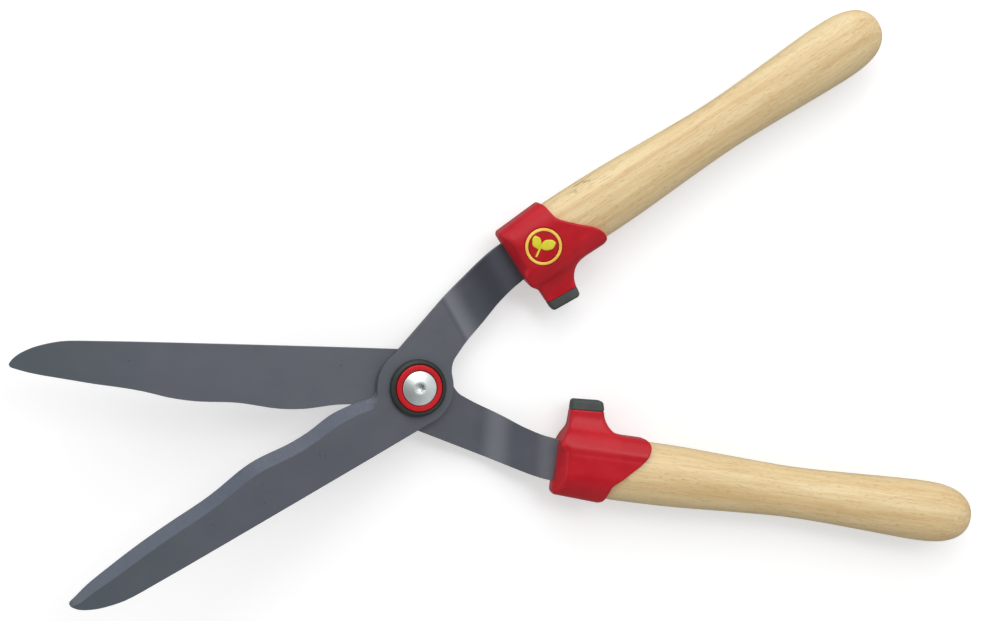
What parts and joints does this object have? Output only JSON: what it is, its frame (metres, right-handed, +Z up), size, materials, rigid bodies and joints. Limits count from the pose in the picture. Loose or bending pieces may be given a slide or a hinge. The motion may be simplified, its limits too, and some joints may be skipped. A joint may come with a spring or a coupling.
{
  "type": "hedge shears",
  "caption": "Hand hedge shears: crossed steel blades with wavy ground edges on a pivot bolt, cranked tangs, red moulded collars with rubber stop pads, beech handles.",
  "frame": {"origin": "on the pivot axis, midway between the two blades", "axes": "+X towards the handles along the line that halves the opening, +Z up with the tool lying on a bench on its nut and both handles, bolt head uppermost; the pivot axis leans 15.1 degrees from +Z towards +X"},
  "size_m": [0.5302, 0.3296, 0.0787],
  "materials": {
    "coated_steel": "satin grey non-stick coating over steel, ground bevels",
    "red_plastic": "moulded, semi-gloss",
    "red_cap": "moulded, glossy",
    "black_rubber": "satin",
    "pad_rubber": "matt",
    "beech": "clear varnish",
    "plain_steel": "plain",
    "zinc_steel": "zinc plated",
    "bright_zinc": "bright plated",
    "bronze": "turned",
    "yellow_inlay": "moulded inlay"
  },
  "bodies": {
    "rear_half": {"rear_blade": "coated_steel", "lower_collar": "red_plastic", "lower_buffer": "pad_rubber", "lower_handle": "beech", "lower_tang_pin": "plain_steel", "lower_collar_screw": "zinc_steel", "pivot_bush": "bronze", "cap_ring": "red_cap", "seal_ring": "black_rubber", "rear_washer": "zinc_steel", "disc_spring": "plain_steel", "lock_nut": "zinc_steel"},
    "front_half": {"front_blade": "coated_steel", "upper_collar": "red_plastic", "upper_buffer": "pad_rubber", "upper_handle": "beech", "upper_tang_pin": "plain_steel", "upper_collar_screw": "zinc_steel", "badge_ring": "yellow_inlay", "badge_sprig": "yellow_inlay"},
    "pivot_screw": {"pivot_bolt": "bright_zinc"}
  },
  "joints": [
    {"name": "blade_pivot", "type": "hinge", "parent": "rear_half", "child": "front_half", "pos_m": [0, 0, 0], "axis": [0.2605, 0, 0.9655], "range_deg": [-35, 45]},
    {"name": "tension_screw", "type": "hinge", "parent": "rear_half", "child": "pivot_screw", "pos_m": [0, 0, 0], "axis": [0.2605, 0, 0.9655], "range_deg": [-90, 90]}
  ]
}
